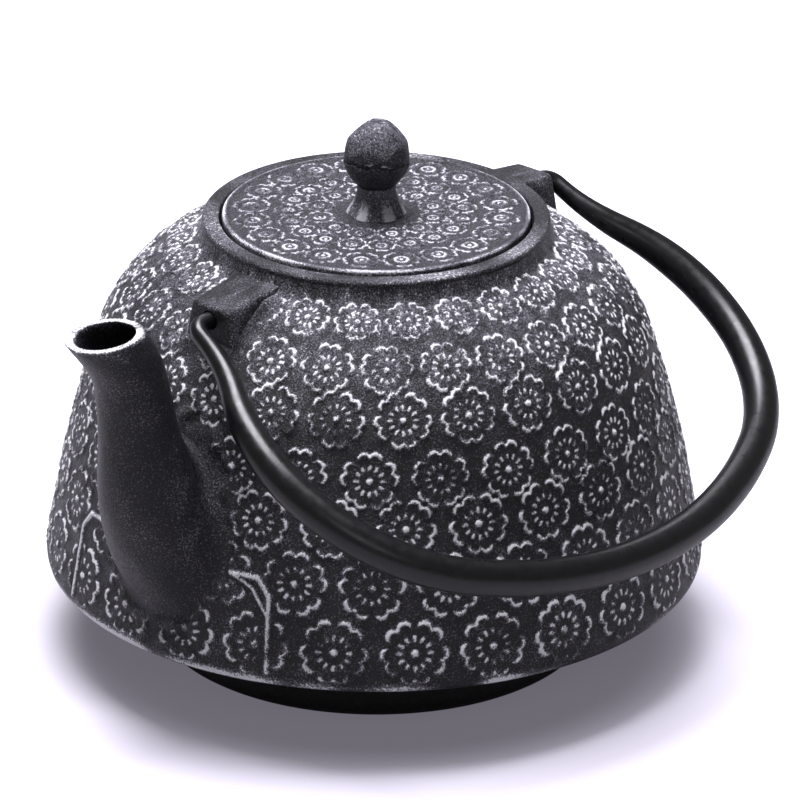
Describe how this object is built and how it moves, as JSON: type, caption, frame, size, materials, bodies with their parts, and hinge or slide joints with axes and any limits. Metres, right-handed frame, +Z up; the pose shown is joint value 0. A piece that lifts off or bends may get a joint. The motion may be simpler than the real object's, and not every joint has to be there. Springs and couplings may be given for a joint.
{
  "type": "teapot",
  "caption": "Round-shouldered cast iron teapot with blossom relief, short bent spout, drop-in lid with a bud knob, hinged black bail and a lift-out steel infuser.",
  "frame": {"origin": "centre of the flat foot, on the surface the pot stands on", "axes": "+Z up along the pot's turned axis, -X towards the spout, X along the bail's hinge, -Y towards the side on which the lowered bail hangs"},
  "size_m": [0.1958, 0.1826, 0.1406],
  "materials": {
    "pot_iron": "sand-cast black iron, relief rubbed silver",
    "lid_iron": "sand-cast black iron, raised edges rubbed silver",
    "bail_paint": "satin black",
    "infuser_steel": "brushed stainless",
    "fastener_steel": "plain steel"
  },
  "bodies": {
    "pot": {"pot_base": "pot_iron", "pot_flank": "pot_iron", "pot_shoulder": "pot_iron", "spout": "pot_iron"},
    "lid": {"lid": "lid_iron", "knob_seat": "lid_iron", "knob": "lid_iron", "knob_washer": "fastener_steel", "knob_nut": "fastener_steel"},
    "bail": {"bail_handle": "bail_paint"},
    "infuser": {"infuser_rim": "infuser_steel", "infuser_wall": "infuser_steel", "infuser_base": "infuser_steel"}
  },
  "joints": [
    {"name": "bail_hinge", "type": "hinge", "parent": "pot", "child": "bail", "pos_m": [0, 0, 0.1052], "axis": [-1, 0, 0], "range_deg": [0, 240]},
    {"name": "lid_lift", "type": "slide", "parent": "pot", "child": "lid", "axis": [0, 0, 1], "range_m": [0, 0.06]},
    {"name": "infuser_lift", "type": "slide", "parent": "pot", "child": "infuser", "axis": [0, 0, 1], "range_m": [0, 0.03]}
  ],
  "couplings": [
    {"joint": "infuser_lift", "follows": "lid_lift", "ratio": 0.5}
  ]
}
